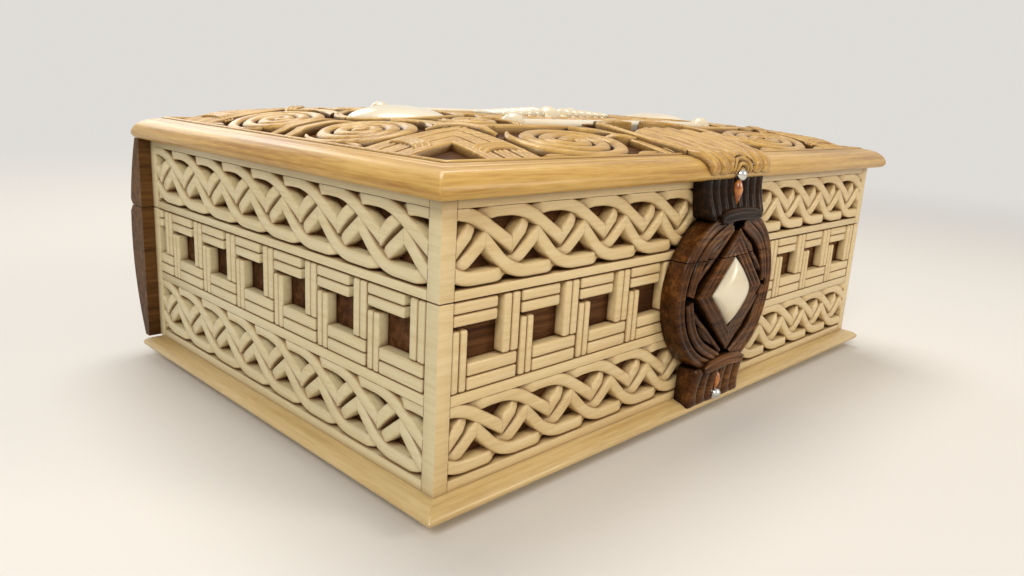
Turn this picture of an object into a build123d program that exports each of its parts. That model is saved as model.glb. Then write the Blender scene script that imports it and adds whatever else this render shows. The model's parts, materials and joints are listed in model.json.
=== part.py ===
from build123d import *
import os
from math import atan2, cos, degrees, hypot, pi, radians, sin

# Keepsake box in the form of a book. Millimetres, Z up, X along the fore-edge, clasp face towards -Y.
# Everything is drawn with z = 0 at the foot of the walls, and lifted by the base cover when written.

# driving dimensions
body_length = 262.0
body_depth = 176.0
body_height = 80.0
split_height = 53.15
cover_overhang = 6.0
cover_back_overhang = 3.5
cover_thickness = 8.5
lid_crown = 14.7
spine_bulge = 12.0
spine_end_overhang = 4.5
rim_gap = 0.3
crown_level = 2.0
crown_relief = 0.4

# walls
facing_thickness = 4.0
core_thickness = 6.0
back_thickness = 8.0
stile_width = 5.0
rail_height = 3.2
lid_foot_rail = 2.7
lid_top_rail = 3.0

# braid: two plaited rows in one band
braid_pitch_front = 19.95
braid_pitch_side = 20.35
base_braid_height = 21.2
braid_apex = 9.9
crest_top_gap = 1.6
trough_foot_gap = 2.2
crest_drop = 9.2
trough_rise = 10.3
ribbon_half = 1.95
ribbon_low = 2.6

# basket weave
weave_units_front = 10
weave_pitch_side = 25.7
weave_web = 1.4
weave_left_pair = 5.5
weave_right_pair = 6.9
weave_low_pair = 8.1
weave_top_pair = 6.4
weave_joint = 0.8
stick_bevel = 0.7

# covers
nose_height = 3.5
nose_undercut = 1.3
nose_rise = 6.3
nose_radius = 1.6
border_width = 8.0
cover_corner_radius = 3.0
foot_inset = 12.0
pocket_floor = 2.5
carving_depth = 2.5
rib_width = 5.6
rib_pitch = 7.2
corner_opening = 18.0
corner_gap = 2.0
seat_gap = 0.02
flute_depth = 1.0
flute_width = 1.4
flutes = 6

# pieces on the lid, each set in from the edge of the cover
front_roundel = (48.0, 34.0)
side_roundel = (33.0, 38.0)
front_roundel_inset = 75.0
front_roundel_edge = 25.8
side_roundel_inset = 25.0
side_roundel_edge = 70.8
bar_width = 5.0
bar_inset = 78.0
bar_edge = 54.8
bar_lift = 1.0
end_knob_radius = 5.0
end_knob_lift = 3.0
bone_dome_inset = 57.0
bone_dome_radius = 16.0
bone_dome_lift = 2.5
ridge_inset = 102.0
ridge_width = 14.0
reed_pitch = 7.0
reed_width = 5.0
centre_knob_radius = 7.0
centre_knob_lift = 6.1

# clasp
shield_half_width = 32.5
shield_foot = 10.0
shield_top_gap = 10.0
shield_frame = 5.0
shield_floor = 3.6
diamond_frame_half = 22.5
shield_edge = 5.5
shield_face = 7.5
bone_half_width = 13.0
bone_half_height = 12.9
bone_edge = 0.8
strap_half_width = 20.0
strap_depth = 5.0
strap_tuck = 15.0
strap_overlap = 4.0
strap_reach = 40.0
strap_lift = 2.0
bead_radius = 2.2
drop_radius = 1.9
drop_length = 7.0
drop_gap = 0.3

# hinge and stop
hinge_angle = 100.0
axis_setback = 9.1
barrel_radius = 2.3
barrel_gap = 0.3
pin_radius = 1.0
pin_clearance = 0.05
hinge_length = 38.0
hinge_offset = 85.0
knuckles = 3
knuckle_gap = 0.15
leaf_thickness = 1.2
leaf_depth = 16.0
stop_gap = 0.15

# lining
pad_thickness = 2.0
panel_thickness = 1.5
lining_setback = 3.0

lid_centre = (cover_back_overhang - cover_overhang) / 2
base_rim = split_height - rim_gap / 2
lid_rim = split_height + rim_gap / 2
half_length = body_length / 2
half_depth = body_depth / 2
weave_base = 2 * rail_height + base_braid_height
weave_height = base_rim - weave_base
lid_braid_base = lid_rim + lid_foot_rail
lid_braid_height = body_height - lid_top_rail - lid_braid_base
clasp_height = (shield_foot + body_height - shield_top_gap) / 2
shield_half_height = body_height - shield_top_gap - clasp_height
inner_x = half_length - facing_thickness - core_thickness
inner_front = -half_depth + facing_thickness + core_thickness
inner_back = half_depth - back_thickness
cover_x = half_length + cover_overhang
cover_y = half_depth + (cover_overhang + cover_back_overhang) / 2
axis_y = half_depth + axis_setback
panel_front = body_length - 2 * stile_width
panel_side = body_depth - 2 * stile_width
nodes = {}


def block(x0, x1, y0, y1, z0, z1):
    size = (x1 - x0, y1 - y0, z1 - z0)
    return Pos(x0, y0, z0) * Box(*size, align=(Align.MIN, Align.MIN, Align.MIN))


def along_x(radius, x0, x1):
    bar = Cylinder(radius, x1 - x0, align=(Align.CENTER, Align.CENTER, Align.MIN))
    return Pos(x0, axis_y, split_height) * Rot(0, 90, 0) * bar


def face_plane(side, z):
    """Plane on the back of a wall's facing, its corner at the panel's left foot as seen from outside."""
    inset = half_length - facing_thickness
    end = half_depth - stile_width
    if side == "front":
        return Plane((-half_length + stile_width, -half_depth + facing_thickness, z), (1, 0, 0), (0, -1, 0))
    if side == "left":
        return Plane((-inset, end, z), (0, -1, 0), (-1, 0, 0))
    return Plane((inset, -end, z), (0, 1, 0), (1, 0, 0))


# covers -------------------------------------------------------------------

def cover_section(half, outer, foot):
    """Section of a cover: flat inner face at 0, rounded nose, border, then out to the foot."""
    side = [(half - 2 * cover_back_overhang, 0), (half - nose_undercut, nose_undercut),
            (half, 2 * nose_undercut), (half, nose_height), (half - 2.2, nose_rise - 0.8),
            (half - border_width, nose_rise), (half - foot, outer)]
    other = [(-x, z) for x, z in reversed(side)]
    radii = [0, 0, 0, nose_radius, nose_radius, 0, 0]
    return make_face(FilletPolyline(*side, *other, radius=radii + radii[::-1], close=True))


def cover_board(outer, foot):
    across = extrude(Plane.YZ * cover_section(cover_y, outer, foot), cover_x, both=True)
    along = extrude(Plane.XZ * cover_section(cover_x, outer, foot), cover_y, both=True)
    plan = extrude(RectangleRounded(2 * cover_x, 2 * cover_y, cover_corner_radius), 2 * cover_thickness)
    return Pos(0, lid_centre, 0) * (across & along & plan)


def base_cover():
    board = cover_board(cover_thickness, foot_inset)
    return mirror(board, about=Plane.XY) - lower_strap_space()


def dome_section(half, crown, drop):
    """Section under the lid's rounded top: one arc from each border to the level strip between them."""
    foot, level = half - border_width, half - cover_y + crown_level
    low, top = nose_rise - drop, crown - drop
    radius = ((foot - level) ** 2 + (top - low) ** 2) / (2 * (top - low))
    right = RadiusArc((foot, low), (level, top), -radius)
    base = Polyline((-foot, low), (-foot, 0), (foot, 0), (foot, low))
    return make_face([right, Line((level, top), (-level, top)), mirror(right, about=Plane.YZ), base])


def dome(drop):
    """Body under the lid's top; the long way runs a little higher, so that one arc alone makes the ridge."""
    across = extrude(Plane.YZ * dome_section(cover_y, lid_crown, drop), cover_x, both=True)
    along = extrude(Plane.XZ * dome_section(cover_x, lid_crown + crown_relief, drop), cover_y, both=True)
    return Pos(0, lid_centre, body_height) * (across & along)


def lid_pocket():
    half_x, half_y = cover_x - border_width, cover_y - border_width
    return block(-half_x, half_x, lid_centre - half_y, lid_centre + half_y,
                 body_height + pocket_floor, body_height + lid_crown)


def lid_strap():
    """Fluted tongue from the lid's edge in towards the middle, and down over the nose."""
    tip = -half_depth + strap_reach
    half = strap_half_width
    plan = make_face(Polyline((-half, -cover_y - 4), (half, -cover_y - 4), (half + 5, tip - 12), (half, tip),
                              (0, tip + 3), (-half, tip), (-half - 5, tip - 12), close=True))
    over = dome(-strap_lift) - dome(carving_depth)
    over = over & block(-cover_x, cover_x, lid_centre - cover_y + border_width, tip + 4,
                        body_height, body_height + 2 * lid_crown)
    front = -half_depth - cover_overhang - 1.5
    back = lid_centre - cover_y + border_width
    nose = make_face(FilletPolyline((back, nose_rise - carving_depth), (-half_depth, nose_rise - carving_depth),
                                    (-half_depth, 2), (front, 2), (front, nose_rise), (front + 3, nose_rise + 1.6),
                                    (back, nose_rise + strap_lift), radius=[0, 0, 0, 0, 1.5, 1.5, 0], close=True))
    nose = extrude(Plane.YZ.offset(-half) * (Pos(0, body_height) * nose), 2 * half)
    return nose + (over & extrude(plan, 2 * body_height)) - strap_flutes(tip)


def strap_flutes(tip):
    """Grooves that run with the tongue, as deep all along its rounded top."""
    layer = dome(-strap_lift - 1) - dome(flute_depth - strap_lift)
    pitch = 2 * strap_half_width / (flutes + 1)
    slot = block(-flute_width / 2, flute_width / 2, lid_centre - cover_y + border_width, tip - border_width,
                 body_height, body_height + 2 * lid_crown)
    return [layer & (Pos(pitch * (step - (flutes - 1) / 2), 0) * slot) for step in range(flutes)]


def lid_cover():
    board = Pos(0, 0, body_height) * cover_board(nose_rise + 0.01, border_width + 0.01)
    return board - lid_pocket() - upper_strap_space() - nodes["lid_strap"]


def lid_ground():
    return (dome(carving_depth) & lid_pocket()) - nodes["lid_strap"]


# lid carving ----------------------------------------------------------------

def carved(plan, depth=carving_depth, lift=0.0):
    """A plan shape as a layer that follows the lid's rounded top."""
    return (dome(-lift) - dome(depth - seat_gap)) & extrude(plan, 2 * body_height)


def corner_square():
    """Nested ribs round a square that stays open to the dark ground."""
    ribs = Sketch()
    for step in range(1, 4):
        outer = corner_opening + rib_pitch * step
        ribs += Rectangle(outer, outer, align=Align.MIN) - Rectangle(outer - rib_width, outer - rib_width,
                                                                     align=Align.MIN)
    return ribs


def four_ways(plan):
    pair = plan + mirror(plan, about=Plane.YZ)
    return Pos(0, lid_centre) * (pair + mirror(pair, about=Plane.XZ))


def corner_squares():
    edge = border_width + corner_gap
    return carved(four_ways(Pos(edge - cover_x, edge - cover_y) * corner_square()))


def oval(width, height, sides):
    turns = [2 * pi * (step + 0.5) / sides for step in range(sides)]
    return make_face(Polyline(*[(width / 2 * cos(a), height / 2 * sin(a)) for a in turns], close=True))


def roundel(width, height):
    return oval(width, height, 10) - oval(width / 3, height / 3, 4)


def roundels():
    front = Pos(front_roundel_inset - cover_x, front_roundel_edge - cover_y) * roundel(*front_roundel)
    left = Pos(side_roundel_inset - cover_x, side_roundel_edge - cover_y) * roundel(*side_roundel)
    return carved(four_ways(front + left))


def knob(x, y, radius, lift):
    """Low carved knob on the ground of the lid: a round-cornered post under two crossed bows."""
    depth = lift + carving_depth + 1
    plan = extrude(RegularPolygon(radius, 8), depth)
    low = depth / 4
    arc = ThreePointArc((-radius, low), (0, depth), (radius, low))
    profile = make_face([arc, Polyline((radius, low), (radius, 0), (-radius, 0), (-radius, low))])
    across = extrude(Plane.XZ * profile, radius, both=True)
    along = extrude(Plane.YZ * profile, radius, both=True)
    place = Pos(x, lid_centre + y, body_height + lid_crown - carving_depth - 1)
    return place * (plan & across & along) - dome(carving_depth - seat_gap)


def end_knob(x, y):
    """Small knob with a sloping shoulder."""
    depth = end_knob_lift + carving_depth + 1
    post = extrude(RegularPolygon(end_knob_radius, 8), depth, taper=degrees(atan2(end_knob_radius / 3, depth)))
    place = Pos(x, lid_centre + y, body_height + lid_crown - carving_depth - 1)
    return place * post - dome(carving_depth - seat_gap)


def bone_bars():
    half, y = cover_x - bar_inset, cover_y - bar_edge
    bars = [carved(Pos(0, lid_centre + side * y) * Rectangle(2 * half, bar_width), lift=bar_lift)
            for side in (-1, 1)]
    knobs = [end_knob(x, side * y) for x in (-half, half) for side in (-1, 1)]
    return [bars[0] + knobs[0] + knobs[2], bars[1] + knobs[1] + knobs[3]]


def bone_domes():
    x = cover_x - bone_dome_inset
    return [knob(side * x, 0, bone_dome_radius, bone_dome_lift) for side in (-1, 1)]


def bone_ridge():
    """Reeded bar with a knob in its middle."""
    half = cover_x - ridge_inset
    ridge = carved(Pos(0, lid_centre) * Rectangle(2 * half, ridge_width), lift=bar_lift)
    outline = make_face(Polyline((-reed_width / 2, -1), (reed_width / 2, -1), (0, 2), close=True))
    reed = extrude(Plane.XZ * outline, ridge_width / 2 - 1, both=True)
    side = int((half - reed_width / 2) / reed_pitch)
    reeds = [Pos(reed_pitch * step, lid_centre, body_height + lid_crown + bar_lift) * reed
             for step in range(-side, side + 1) if abs(step) * reed_pitch > centre_knob_radius + reed_width / 2]
    return ridge + reeds + knob(0, 0, centre_knob_radius, centre_knob_lift)


# walls ----------------------------------------------------------------------

def mitred(side, outer, depth, z0, z1, back):
    """Wall layer of one side, mitred at the front corners; outer is its distance inside the body's face."""
    x, y = half_length - outer, half_depth - outer
    if side == "front":
        plan = Polyline((-x, -y), (x, -y), (x - depth, -y + depth), (-x + depth, -y + depth), close=True)
    else:
        plan = Polyline((-x, -y), (-x + depth, -y + depth), (-x + depth, back), (-x, back), close=True)
    wall = extrude(Pos(0, 0, z0) * make_face(plan), z1 - z0)
    return mirror(wall, about=Plane.YZ) if side == "right" else wall


def core(side, z0, z1):
    return mitred(side, facing_thickness, core_thickness, z0, z1, inner_back)


def back_board(z0, z1):
    x = half_length - facing_thickness
    return block(-x, x, inner_back, half_depth, z0, z1)


def frame(side, z0, z1, bands):
    """Rails and stiles of one side: the wall's facing with its panel openings cut out."""
    facing = mitred(side, 0, facing_thickness, z0, z1, half_depth)
    length = panel_front if side == "front" else panel_side
    for foot, height in bands:
        opening = Rectangle(length, height, align=Align.MIN)
        facing -= extrude(face_plane(side, foot) * opening, facing_thickness)
    return facing


# braid ----------------------------------------------------------------------

def shifted(points, shift):
    """The line through points moved sideways by shift, its ends kept on the same uprights."""
    lines = [((points[0][0], 0), (0, 1))]
    for (x0, y0), (x1, y1) in zip(points, points[1:]):
        size = hypot(x1 - x0, y1 - y0)
        dx, dy = (x1 - x0) / size, (y1 - y0) / size
        lines.append(((x0 - dy * shift, y0 + dx * shift), (dx, dy)))
    lines.append(((points[-1][0], 0), (0, 1)))
    moved = []
    for ((ax, ay), (ux, uy)), ((bx, by), (vx, vy)) in zip(lines, lines[1:]):
        reach = ((bx - ax) * vy - (by - ay) * vx) / (ux * vy - uy * vx)
        moved.append((ax + ux * reach, ay + uy * reach))
    return moved


def ribbon(points, half):
    return make_face(Polyline(*shifted(points, half), *reversed(shifted(points, -half)), close=True))


def crest_over(pitch, height):
    """Strand of the upper row: level run under the rail, then the long fall to a notch."""
    top = height - crest_top_gap
    return ribbon([(0.57 * pitch, top), (1.2 * pitch, top), (2 * pitch, top - crest_drop)], ribbon_half)


def trough_over(pitch):
    """Strand of the lower row: long fall from a point, then the level run above the rail."""
    foot = trough_foot_gap
    line = [(0, foot + trough_rise), (0.48 * pitch, foot), (1.25 * pitch, foot)]
    return ribbon([(u + pitch - braid_apex, v) for u, v in line], ribbon_half)


def leg_pair(pitch, height):
    """The two low legs that rise side by side from a notch and a level run, and go under the next falls."""
    top, point = height - crest_top_gap, trough_foot_gap + trough_rise
    notch, end = top - crest_drop, pitch - braid_apex
    return make_face(Polyline((0, trough_foot_gap), (end, point - ribbon_half), (end, point + ribbon_half),
                              (0.36 * pitch, top - ribbon_half / 2), (0, notch + ribbon_half), close=True))


def braid_panel(length, pitch, first, height):
    """Plaited rows cut through: the legs lie low where they go under, the long falls lie over them."""
    overs = [crest_over(pitch, height), trough_over(pitch)]
    legs = leg_pair(pitch, height)
    panel = Rectangle(length, height, align=Align.MIN)
    places = [first + pitch * step for step in range(-3, int(length / pitch) + 3)]
    low = Sketch() + [Pos(u, 0) * legs for u in places]
    high = Sketch() + [Pos(u, 0) * shape for u in places for shape in overs]
    return extrude(low & panel, ribbon_low) + extrude(high & panel, facing_thickness)


# basket weave -----------------------------------------------------------------

def stick_pair(width, length):
    """Two flat sticks side by side along Y, with bevelled edges at the groove between them."""
    top, low, middle = facing_thickness, facing_thickness - stick_bevel, width / 2
    line = Polyline((0, 0), (width, 0), (width, top), (middle + stick_bevel, top), (middle, low),
                    (middle - stick_bevel, top), (0, top), close=True)
    return extrude(Plane((0, length, 0), (1, 0, 0), (0, -1, 0)) * make_face(line), length)


def weave_unit(pitch):
    """A pair of sticks on each side of a square opening, each pair ending under the next."""
    right = pitch - weave_right_pair
    upright_left = stick_pair(weave_left_pair, weave_height - weave_top_pair - weave_joint)
    upright_right = Pos(right, weave_low_pair) * stick_pair(weave_right_pair - weave_joint / 2,
                                                            weave_height - weave_low_pair)
    above = Pos(0, weave_height) * Rot(0, 0, -90) * stick_pair(weave_top_pair, right - 2 * weave_joint)
    below = Pos(weave_left_pair, weave_low_pair) * Rot(0, 0, -90) * stick_pair(weave_low_pair,
                                                                             pitch - weave_left_pair - weave_joint)
    return [upright_left, upright_right, above, below]


def weave_panel(length, pitch, first):
    web = extrude(Rectangle(length, weave_height, align=Align.MIN), weave_web)
    units = int(length / pitch) + 2
    panel = extrude(Rectangle(length, weave_height, align=Align.MIN), facing_thickness)
    sticks = weave_unit(pitch)
    holes, bars = [], []
    for step in range(units):
        place = Pos(first + pitch * step, 0, 0)
        hole = Rectangle(pitch - weave_left_pair - weave_right_pair,
                         weave_height - weave_low_pair - weave_top_pair, align=Align.MIN)
        holes.append(place * extrude(Pos(weave_left_pair, weave_low_pair, 0) * hole, facing_thickness))
        bars += [place * bar for bar in sticks]
    return (web + bars - holes) & panel


# spine and hinges -----------------------------------------------------------

def spine_half(z0, z1, lower):
    outer = ThreePointArc((half_depth + cover_back_overhang, 0), (half_depth + spine_bulge, body_height / 2),
                          (half_depth + cover_back_overhang, body_height))
    back = Polyline((half_depth + cover_back_overhang, body_height), (half_depth, body_height), (half_depth, 0),
                    (half_depth + cover_back_overhang, 0))
    width = half_length + spine_end_overhang
    board = extrude(Plane.YZ * make_face([outer, back]), width, both=True)
    board = board & block(-width, width, half_depth, half_depth + spine_bulge, z0, z1)
    return board - stop_bevel(lower)


def stop_bevel(lower):
    """Wedge outside the hinge axis that each spine half loses, so that the two meet at the full opening."""
    tilt = hinge_angle / 2
    reach = 40.0
    sign = -1 if lower else 1
    wedge = block(-half_length - reach, half_length + reach, -stop_gap / sin(radians(tilt)), reach, -reach, 0)
    if lower:
        wedge = mirror(wedge, about=Plane.XY)
    return Pos(0, axis_y, split_height) * Rot(sign * tilt, 0, 0) * wedge


def barrel(x0, x1, bore):
    """Rolled barrel of one knuckle, in twelve flats."""
    plane = Plane((x0, axis_y, split_height), (0, 1, 0), (1, 0, 0))
    return extrude(plane * (RegularPolygon(barrel_radius, 12) - bore), x1 - x0)


def barrel_space():
    space = Part()
    for x in (-hinge_offset, hinge_offset):
        half = hinge_length / 2 + barrel_gap
        space += along_x(barrel_radius + barrel_gap, x - half, x + half)
    return space


def knuckle_spans(x, lower):
    step = hinge_length / knuckles
    start = x - hinge_length / 2
    own = range(0 if lower else 1, knuckles, 2)
    return [(start + step * i + knuckle_gap, start + step * (i + 1) - knuckle_gap) for i in own]


def leaf_base(lower):
    return base_rim - leaf_thickness if lower else lid_rim


def hinge_leaf(x, lower):
    """Flat leaf in the meeting face with its knuckles round the pin."""
    half, z0 = hinge_length / 2, leaf_base(lower)
    leaf = block(x - half, x + half, axis_y - leaf_depth, axis_y, z0, z0 + leaf_thickness)
    gap, back = 2 * knuckle_gap, barrel_radius + barrel_gap
    leaf -= [block(a - gap, b + gap, axis_y - back, axis_y, z0, z0 + leaf_thickness)
             for a, b in knuckle_spans(x, not lower)]
    bore = pin_radius + pin_clearance
    hole = RegularPolygon(bore, 8, major_radius=False) if lower else Circle(bore)
    leaf -= along_x(barrel_radius - leaf_thickness / 2, x - half, x + half)
    return leaf + [barrel(a, b, hole) for a, b in knuckle_spans(x, lower)]


def hinge_pair(lower):
    return [hinge_leaf(x, lower) for x in (-hinge_offset, hinge_offset)]


def leaf_space(lower):
    """Mortises for the leaves and grooves for their barrels, cut in the back board and the spine."""
    z0, half = leaf_base(lower) - seat_gap, hinge_length / 2 + barrel_gap
    height = leaf_thickness + 2 * seat_gap
    leaves = [block(x - half, x + half, axis_y - leaf_depth - seat_gap, axis_y, z0, z0 + height)
              for x in (-hinge_offset, hinge_offset)]
    return barrel_space() + leaves


def pins():
    half = hinge_length / 2
    return [along_x(pin_radius, x - half, x + half) for x in (-hinge_offset, hinge_offset)]


# clasp ----------------------------------------------------------------------

def upper_strap_space():
    return block(-strap_half_width, strap_half_width, -half_depth - cover_overhang - 2, -half_depth,
                 body_height - strap_tuck, body_height + 2)


def lower_strap_space():
    return block(-strap_half_width, strap_half_width, -half_depth - cover_overhang - 2, -half_depth,
                 -2.0, shield_foot + strap_overlap)


def shield():
    plan = Pos(0, clasp_height) * oval(2 * shield_half_width, 2 * shield_half_height, 24)
    solid = extrude(Plane.XZ.offset(half_depth) * plan, shield_face)
    return solid & extrude(Pos(0, -half_depth) * bow(shield_half_width, shield_edge, shield_face), body_height)


def shield_pockets():
    """Four carved hollows between the shield's border and the lozenge frame round the bone."""
    w, h = shield_half_width - shield_frame, shield_half_height - shield_frame
    frame_plan = make_face(Polyline((-diamond_frame_half, 0), (0, -h), (diamond_frame_half, 0), (0, h), close=True))
    plan = Pos(0, clasp_height) * (oval(2 * w, 2 * h, 16) - frame_plan)
    return extrude(Plane.XZ.offset(half_depth + shield_floor) * plan, shield_face)


def bow(half, edge, crown):
    """Section with a rounded front, from the shield's back at 0."""
    arc = ThreePointArc((-half, -edge), (0, -crown), (half, -edge))
    return make_face([arc, Polyline((-half, -edge), (-half, 0), (half, 0), (half, -edge))])


def bone_diamond():
    """Domed lozenge let into the shield, wholly below the split."""
    w, h = bone_half_width, bone_half_height
    plan = make_face(Polyline((-w, 0), (0, -h), (w, 0), (0, h), close=True))
    back = half_depth + shield_face - 2
    body = extrude(Plane.XZ.offset(back) * plan, spine_bulge - shield_face + 2)
    edge = shield_face + bone_edge
    level = extrude(Pos(0, -half_depth, -h) * bow(w, edge, spine_bulge), 2 * h)
    upright_bow = mirror(bow(h, edge, spine_bulge), about=Plane.XZ)
    across = extrude(Plane((-w, -half_depth, 0), (0, 0, 1), (1, 0, 0)) * upright_bow, 2 * w)
    return Pos(0, 0, base_rim - h) * (body & level & across)


def strap(space, z0, z1, front):
    return space & block(-strap_half_width, strap_half_width, front, -half_depth, z0, z1)


def fluted(solid, z0, z1, front):
    flute = extrude(Pos(0, front) * make_face(Polyline((-1.2, -1), (1.2, -1), (1.2, 0), (0, 1.2), (-1.2, 0),
                                                       close=True)), z1 - z0)
    return solid - [Pos(x, 0, z0) * flute for x in (-15, -10, -5, 5, 10, 15)]


def bead(radius, half):
    """Turned bead of six flats, widest in its middle and half as wide at its ends."""
    upper = extrude(RegularPolygon(radius, 8), half, taper=degrees(atan2(radius / 2, half)))
    return upper + mirror(upper, about=Plane.XY)


def clasp():
    body = shield() - shield_pockets() - nodes["bone_diamond"]
    front = -half_depth - strap_depth
    full = spine_bulge
    w = shield_half_width
    below = block(-w, w, -half_depth - full, -half_depth, 0, base_rim)
    above = block(-w, w, -half_depth - full, -half_depth, lid_rim, body_height)
    nodes["clasp_shield_lower"] = body & below
    nodes["clasp_shield_upper"] = body & above
    upper = strap(upper_strap_space(), body_height - strap_tuck, body_height + 2, front)
    lower = strap(lower_strap_space(), -2.0, shield_foot + strap_overlap, front - 1)
    nodes["clasp_strap_upper"] = fluted(upper, body_height - strap_tuck, body_height + 2, front) - shield()
    nodes["clasp_strap_lower"] = lower - shield()
    bead_top = Pos(0, front, body_height + 0.2) * bead(bead_radius, bead_radius)
    hang = body_height - bead_radius - drop_gap - drop_length / 2
    drop = Pos(0, front, hang) * bead(drop_radius, drop_length / 2)
    bead_low = Pos(0, front - 1, 1.5) * bead(bead_radius, bead_radius)
    nodes["clasp_bead_upper"] = bead_top - nodes["clasp_strap_upper"] - nodes["lid_strap"]
    nodes["clasp_drop"] = drop - nodes["clasp_strap_upper"] - nodes["clasp_bead_upper"]
    nodes["clasp_bead_lower"] = bead_low - nodes["clasp_strap_lower"]


# lining ---------------------------------------------------------------------

def wall_lining(z0, z1):
    t = panel_thickness
    ring = block(-inner_x, inner_x, inner_front, inner_back, z0, z1)
    return ring - block(-inner_x + t, inner_x - t, inner_front + t, inner_back - t, z0, z1)


def pad(z):
    return block(-inner_x, inner_x, inner_front, inner_back, z, z + pad_thickness)


# assembly -------------------------------------------------------------------

def build_lid_top():
    nodes["lid_strap"] = lid_strap()
    nodes["lid_cover"] = lid_cover()
    nodes["lid_ground"] = lid_ground()
    carving = {"lid_bone_ridge": bone_ridge(), "lid_bone_domes": bone_domes(), "lid_bone_bars": bone_bars(),
               "lid_roundels": roundels(), "lid_corner_squares": corner_squares()}
    for name, solid in carving.items():
        nodes[name] = solid


def build_walls():
    base_band = (rail_height, base_braid_height)
    weave_band = (weave_base, weave_height)
    lid_band = (lid_braid_base, lid_braid_height)
    first = panel_side % braid_pitch_side
    start = panel_side % weave_pitch_side - weave_pitch_side
    for part, height in (("base", base_braid_height), ("lid", lid_braid_height)):
        front = braid_panel(panel_front, braid_pitch_front, 0.0, height)
        end = braid_panel(panel_side, braid_pitch_side, first, height)
        foot = rail_height if part == "base" else lid_braid_base
        for side, panel in (("front", front), ("left", end), ("right", end)):
            nodes[part + "_braid_" + side] = face_plane(side, foot).location * panel
    weaves = {"front": weave_panel(panel_front, panel_front / weave_units_front, 0.0)}
    weaves["left"] = weaves["right"] = weave_panel(panel_side, weave_pitch_side, start)
    for side in ("front", "left", "right"):
        nodes["base_board_" + side] = core(side, 0, base_rim)
        nodes["lid_board_" + side] = core(side, lid_rim, body_height)
        nodes["base_frame_" + side] = frame(side, 0, base_rim, (base_band, weave_band))
        nodes["lid_frame_" + side] = frame(side, lid_rim, body_height, (lid_band,))
        nodes["base_weave_" + side] = face_plane(side, weave_base).location * weaves[side]


def build_spine():
    lower_space, upper_space = leaf_space(True), leaf_space(False)
    nodes["base_board_back"] = back_board(0, base_rim) - lower_space
    nodes["lid_board_back"] = back_board(lid_rim, body_height) - upper_space
    nodes["base_spine"] = spine_half(0, base_rim, True) - lower_space
    nodes["lid_spine"] = spine_half(lid_rim, body_height, False) - upper_space
    nodes["hinge_leaves_base"] = hinge_pair(True)
    nodes["hinge_leaves_lid"] = hinge_pair(False)
    nodes["hinge_pins"] = pins()


def build_lining():
    nodes["base_floor_lining"] = pad(0)
    nodes["base_wall_lining"] = wall_lining(pad_thickness, base_rim - lining_setback)
    nodes["lid_lining"] = pad(body_height - pad_thickness)
    nodes["lid_wall_lining"] = wall_lining(lid_rim + lining_setback, body_height - pad_thickness)


def write(name, shape):
    pieces = shape if isinstance(shape, list) else [shape]
    solids = [Pos(0, 0, cover_thickness) * solid for piece in pieces for solid in piece.solids()]
    export_step(Compound(solids) if len(solids) > 1 else solids[0], "parts/" + name + ".step")


os.makedirs("parts", exist_ok=True)
nodes["base_cover"] = base_cover()
build_walls()
build_spine()
build_lid_top()
nodes["bone_diamond"] = bone_diamond()
clasp()
build_lining()
for name, shape in nodes.items():
    write(name, shape)
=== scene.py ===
import json
import bpy
import bmesh
from math import cos, hypot, pi, radians, sin, sqrt, tan
from mathutils import Matrix, Vector
from mathutils.geometry import intersect_line_line_2d


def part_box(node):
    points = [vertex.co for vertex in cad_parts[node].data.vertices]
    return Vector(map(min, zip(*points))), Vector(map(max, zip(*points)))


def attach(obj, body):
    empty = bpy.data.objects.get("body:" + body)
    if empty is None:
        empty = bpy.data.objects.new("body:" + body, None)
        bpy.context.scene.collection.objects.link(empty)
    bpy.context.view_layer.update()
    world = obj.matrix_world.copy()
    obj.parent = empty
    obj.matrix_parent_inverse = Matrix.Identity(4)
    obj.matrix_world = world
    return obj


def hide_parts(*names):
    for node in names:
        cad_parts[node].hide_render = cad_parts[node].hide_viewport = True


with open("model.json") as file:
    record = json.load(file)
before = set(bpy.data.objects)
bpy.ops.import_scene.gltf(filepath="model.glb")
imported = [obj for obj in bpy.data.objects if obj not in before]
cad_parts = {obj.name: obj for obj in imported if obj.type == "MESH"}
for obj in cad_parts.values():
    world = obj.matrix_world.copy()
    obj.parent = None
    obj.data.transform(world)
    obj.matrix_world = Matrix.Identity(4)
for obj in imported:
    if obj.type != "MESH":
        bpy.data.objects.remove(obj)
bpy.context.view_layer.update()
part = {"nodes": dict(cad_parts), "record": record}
nodes = part["nodes"]
print("frame loaded:", len(nodes), "nodes")

mm = 0.001
foot = 8.5    # the walls stand this high above the floor
toMetres = Matrix.Scale(mm, 4)    # pieces are drawn in millimetres and come to metres when they are finished
weld = 0.5e-6    # corners nearer to each other than this, in metres, are merged


def addObject(name, data):
    made = bpy.data.objects.new(name, data)
    bpy.context.scene.collection.objects.link(made)
    return made


def finishPiece(bm, name, material, body, replaced=(), crease=50, place=toMetres):
    bm.transform(place)
    bmesh.ops.remove_doubles(bm, verts=bm.verts[:], dist=weld)
    bmesh.ops.recalc_face_normals(bm, faces=bm.faces[:])
    for face in bm.faces:
        face.smooth = True
    for edge in bm.edges:
        if len(edge.link_faces) == 2:
            edge.smooth = edge.calc_face_angle(0) < radians(crease)
    mesh = bpy.data.meshes.new(name)
    bm.to_mesh(mesh)
    bm.free()
    finishes = material if isinstance(material, tuple) else (material,)
    for finish in finishes:
        mesh.materials.append(finish)
    piece = addObject(name, mesh)
    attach(piece, body)
    if replaced:
        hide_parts(*replaced)
    return piece


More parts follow.
